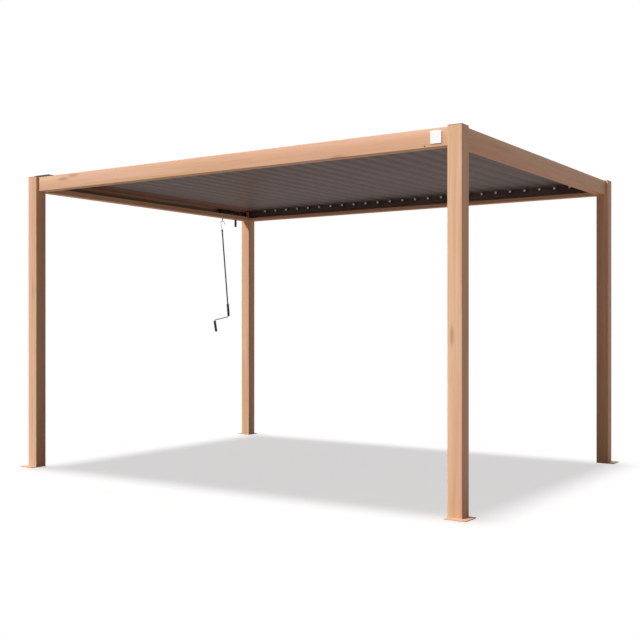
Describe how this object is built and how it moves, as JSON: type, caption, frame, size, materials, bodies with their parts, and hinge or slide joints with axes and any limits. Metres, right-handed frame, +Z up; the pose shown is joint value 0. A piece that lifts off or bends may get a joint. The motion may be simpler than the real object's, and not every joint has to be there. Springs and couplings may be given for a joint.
{
  "type": "louvered pergola",
  "caption": "Free-standing aluminium pergola: four tube posts, a hollow beam frame and tilting roof louvers opened by a hanging crank.",
  "frame": {"origin": "middle of the floor between the posts, on the ground", "axes": "+X along the long side to the right, +Y from front to back, +Z up"},
  "size_m": [4.1, 3.1, 2.449],
  "materials": {
    "wood_finish": "satin wood-look coating",
    "cap_plastic": "matte",
    "rail_paint": "matte powder coat",
    "black_plastic": "matte",
    "gutter_grey": "satin",
    "flashing_brown": "satin",
    "white_plastic": "gloss",
    "louver_paint": "matte powder coat",
    "black_steel": "satin",
    "bare_steel": "zinc plated",
    "grip_plastic": "matte"
  },
  "bodies": {
    "frame": {"post_front_left": "wood_finish", "post_front_right": "wood_finish", "post_back_right": "wood_finish", "post_back_left": "wood_finish", "base_plates": "wood_finish", "post_caps": "cap_plastic", "front_beam": "wood_finish", "back_beam": "wood_finish", "left_beam": "wood_finish", "right_beam": "wood_finish", "front_rail": "rail_paint", "back_rail": "rail_paint", "front_bushes": "black_plastic", "back_bushes": "black_plastic", "gutter_liners": "gutter_grey", "edge_flashings": "flashing_brown", "corner_brackets": "black_plastic", "corner_cover": "black_plastic", "blank_plate": "white_plastic", "gear_housing": "black_plastic", "hanging_peg": "black_plastic"},
    "drive_eye": {"drive_eye": "black_steel"},
    "crank": {"crank_hook": "bare_steel", "crank_rod": "black_steel", "crank_arm": "bare_steel"},
    "upper_grip": {"upper_grip": "grip_plastic"},
    "lower_grip": {"lower_grip": "grip_plastic"},
    "louver_01": {"louver_01": "louver_paint"},
    "louver_02": {"louver_02": "louver_paint"},
    "louver_03": {"louver_03": "louver_paint"},
    "louver_04": {"louver_04": "louver_paint"},
    "louver_05": {"louver_05": "louver_paint"},
    "louver_06": {"louver_06": "louver_paint"},
    "louver_07": {"louver_07": "louver_paint"},
    "louver_08": {"louver_08": "louver_paint"},
    "louver_09": {"louver_09": "louver_paint"},
    "louver_10": {"louver_10": "louver_paint"},
    "louver_11": {"louver_11": "louver_paint"},
    "louver_12": {"louver_12": "louver_paint"},
    "louver_13": {"louver_13": "louver_paint"},
    "louver_14": {"louver_14": "louver_paint"},
    "louver_15": {"louver_15": "louver_paint"},
    "louver_16": {"louver_16": "louver_paint"},
    "louver_17": {"louver_17": "louver_paint"},
    "louver_18": {"louver_18": "louver_paint"},
    "louver_19": {"louver_19": "louver_paint"},
    "louver_20": {"louver_20": "louver_paint"},
    "louver_21": {"louver_21": "louver_paint"},
    "louver_22": {"louver_22": "louver_paint"},
    "louver_23": {"louver_23": "louver_paint"},
    "louver_24": {"louver_24": "louver_paint"},
    "louver_25": {"louver_25": "louver_paint"},
    "louver_26": {"louver_26": "louver_paint"},
    "link_bar": {"link_bar": "rail_paint"}
  },
  "joints": [
    {"name": "gear_turn", "type": "hinge", "parent": "frame", "child": "drive_eye", "pos_m": [-1.94, 1, 2.316], "axis": [0, 0, 1], "range_deg": [0, 1440]},
    {"name": "crank_swing", "type": "hinge", "parent": "drive_eye", "child": "crank", "pos_m": [-1.94, 1, 2.279], "axis": [-0.5592, 0.829, 0], "range_deg": [-60, 30]},
    {"name": "upper_grip_spin", "type": "hinge", "parent": "crank", "child": "upper_grip", "pos_m": [-1.8944, 1.03076, 1.41172], "axis": [0.0622, 0.0419, -0.9972], "continuous": true},
    {"name": "lower_grip_spin", "type": "hinge", "parent": "crank", "child": "lower_grip", "pos_m": [-2.00843, 0.95384, 1.23419], "axis": [0.1154, 0.0778, -0.9903], "continuous": true},
    {"name": "louver_01_tilt", "type": "hinge", "parent": "frame", "child": "louver_01", "pos_m": [-1.667, 0, 2.405], "axis": [0, 1, 0], "range_deg": [0, 90]},
    {"name": "louver_02_tilt", "type": "hinge", "parent": "frame", "child": "louver_02", "pos_m": [-1.528, 0, 2.405], "axis": [0, 1, 0], "range_deg": [0, 90]},
    {"name": "louver_03_tilt", "type": "hinge", "parent": "frame", "child": "louver_03", "pos_m": [-1.389, 0, 2.405], "axis": [0, 1, 0], "range_deg": [0, 90]},
    {"name": "louver_04_tilt", "type": "hinge", "parent": "frame", "child": "louver_04", "pos_m": [-1.25, 0, 2.405], "axis": [0, 1, 0], "range_deg": [0, 90]},
    {"name": "louver_05_tilt", "type": "hinge", "parent": "frame", "child": "louver_05", "pos_m": [-1.111, 0, 2.405], "axis": [0, 1, 0], "range_deg": [0, 90]},
    {"name": "louver_06_tilt", "type": "hinge", "parent": "frame", "child": "louver_06", "pos_m": [-0.972, 0, 2.405], "axis": [0, 1, 0], "range_deg": [0, 90]},
    {"name": "louver_07_tilt", "type": "hinge", "parent": "frame", "child": "louver_07", "pos_m": [-0.833, 0, 2.405], "axis": [0, 1, 0], "range_deg": [0, 90]},
    {"name": "louver_08_tilt", "type": "hinge", "parent": "frame", "child": "louver_08", "pos_m": [-0.694, 0, 2.405], "axis": [0, 1, 0], "range_deg": [0, 90]},
    {"name": "louver_09_tilt", "type": "hinge", "parent": "frame", "child": "louver_09", "pos_m": [-0.555, 0, 2.405], "axis": [0, 1, 0], "range_deg": [0, 90]},
    {"name": "louver_10_tilt", "type": "hinge", "parent": "frame", "child": "louver_10", "pos_m": [-0.416, 0, 2.405], "axis": [0, 1, 0], "range_deg": [0, 90]},
    {"name": "louver_11_tilt", "type": "hinge", "parent": "frame", "child": "louver_11", "pos_m": [-0.277, 0, 2.405], "axis": [0, 1, 0], "range_deg": [0, 90]},
    {"name": "louver_12_tilt", "type": "hinge", "parent": "frame", "child": "louver_12", "pos_m": [-0.138, 0, 2.405], "axis": [0, 1, 0], "range_deg": [0, 90]},
    {"name": "louver_13_tilt", "type": "hinge", "parent": "frame", "child": "louver_13", "pos_m": [0.001, 0, 2.405], "axis": [0, 1, 0], "range_deg": [0, 90]},
    {"name": "louver_14_tilt", "type": "hinge", "parent": "frame", "child": "louver_14", "pos_m": [0.14, 0, 2.405], "axis": [0, 1, 0], "range_deg": [0, 90]},
    {"name": "louver_15_tilt", "type": "hinge", "parent": "frame", "child": "louver_15", "pos_m": [0.279, 0, 2.405], "axis": [0, 1, 0], "range_deg": [0, 90]},
    {"name": "louver_16_tilt", "type": "hinge", "parent": "frame", "child": "louver_16", "pos_m": [0.418, 0, 2.405], "axis": [0, 1, 0], "range_deg": [0, 90]},
    {"name": "louver_17_tilt", "type": "hinge", "parent": "frame", "child": "louver_17", "pos_m": [0.557, 0, 2.405], "axis": [0, 1, 0], "range_deg": [0, 90]},
    {"name": "louver_18_tilt", "type": "hinge", "parent": "frame", "child": "louver_18", "pos_m": [0.696, 0, 2.405], "axis": [0, 1, 0], "range_deg": [0, 90]},
    {"name": "louver_19_tilt", "type": "hinge", "parent": "frame", "child": "louver_19", "pos_m": [0.835, 0, 2.405], "axis": [0, 1, 0], "range_deg": [0, 90]},
    {"name": "louver_20_tilt", "type": "hinge", "parent": "frame", "child": "louver_20", "pos_m": [0.974, 0, 2.405], "axis": [0, 1, 0], "range_deg": [0, 90]},
    {"name": "louver_21_tilt", "type": "hinge", "parent": "frame", "child": "louver_21", "pos_m": [1.113, 0, 2.405], "axis": [0, 1, 0], "range_deg": [0, 90]},
    {"name": "louver_22_tilt", "type": "hinge", "parent": "frame", "child": "louver_22", "pos_m": [1.252, 0, 2.405], "axis": [0, 1, 0], "range_deg": [0, 90]},
    {"name": "louver_23_tilt", "type": "hinge", "parent": "frame", "child": "louver_23", "pos_m": [1.391, 0, 2.405], "axis": [0, 1, 0], "range_deg": [0, 90]},
    {"name": "louver_24_tilt", "type": "hinge", "parent": "frame", "child": "louver_24", "pos_m": [1.53, 0, 2.405], "axis": [0, 1, 0], "range_deg": [0, 90]},
    {"name": "louver_25_tilt", "type": "hinge", "parent": "frame", "child": "louver_25", "pos_m": [1.669, 0, 2.405], "axis": [0, 1, 0], "range_deg": [0, 90]},
    {"name": "louver_26_tilt", "type": "hinge", "parent": "frame", "child": "louver_26", "pos_m": [1.808, 0, 2.405], "axis": [0, 1, 0], "range_deg": [0, 90]},
    {"name": "link_bar_turn", "type": "hinge", "parent": "louver_01", "child": "link_bar", "pos_m": [-1.6868, 1.386, 2.4248], "axis": [0, 1, 0], "range_deg": [-90, 0]}
  ],
  "couplings": [
    {"joint": "louver_01_tilt", "follows": "gear_turn", "ratio": 0.0625},
    {"joint": "louver_02_tilt", "follows": "gear_turn", "ratio": 0.0625},
    {"joint": "louver_03_tilt", "follows": "gear_turn", "ratio": 0.0625},
    {"joint": "louver_04_tilt", "follows": "gear_turn", "ratio": 0.0625},
    {"joint": "louver_05_tilt", "follows": "gear_turn", "ratio": 0.0625},
    {"joint": "louver_06_tilt", "follows": "gear_turn", "ratio": 0.0625},
    {"joint": "louver_07_tilt", "follows": "gear_turn", "ratio": 0.0625},
    {"joint": "louver_08_tilt", "follows": "gear_turn", "ratio": 0.0625},
    {"joint": "louver_09_tilt", "follows": "gear_turn", "ratio": 0.0625},
    {"joint": "louver_10_tilt", "follows": "gear_turn", "ratio": 0.0625},
    {"joint": "louver_11_tilt", "follows": "gear_turn", "ratio": 0.0625},
    {"joint": "louver_12_tilt", "follows": "gear_turn", "ratio": 0.0625},
    {"joint": "louver_13_tilt", "follows": "gear_turn", "ratio": 0.0625},
    {"joint": "louver_14_tilt", "follows": "gear_turn", "ratio": 0.0625},
    {"joint": "louver_15_tilt", "follows": "gear_turn", "ratio": 0.0625},
    {"joint": "louver_16_tilt", "follows": "gear_turn", "ratio": 0.0625},
    {"joint": "louver_17_tilt", "follows": "gear_turn", "ratio": 0.0625},
    {"joint": "louver_18_tilt", "follows": "gear_turn", "ratio": 0.0625},
    {"joint": "louver_19_tilt", "follows": "gear_turn", "ratio": 0.0625},
    {"joint": "louver_20_tilt", "follows": "gear_turn", "ratio": 0.0625},
    {"joint": "louver_21_tilt", "follows": "gear_turn", "ratio": 0.0625},
    {"joint": "louver_22_tilt", "follows": "gear_turn", "ratio": 0.0625},
    {"joint": "louver_23_tilt", "follows": "gear_turn", "ratio": 0.0625},
    {"joint": "louver_24_tilt", "follows": "gear_turn", "ratio": 0.0625},
    {"joint": "louver_25_tilt", "follows": "gear_turn", "ratio": 0.0625},
    {"joint": "louver_26_tilt", "follows": "gear_turn", "ratio": 0.0625},
    {"joint": "link_bar_turn", "follows": "gear_turn", "ratio": -0.0625}
  ]
}
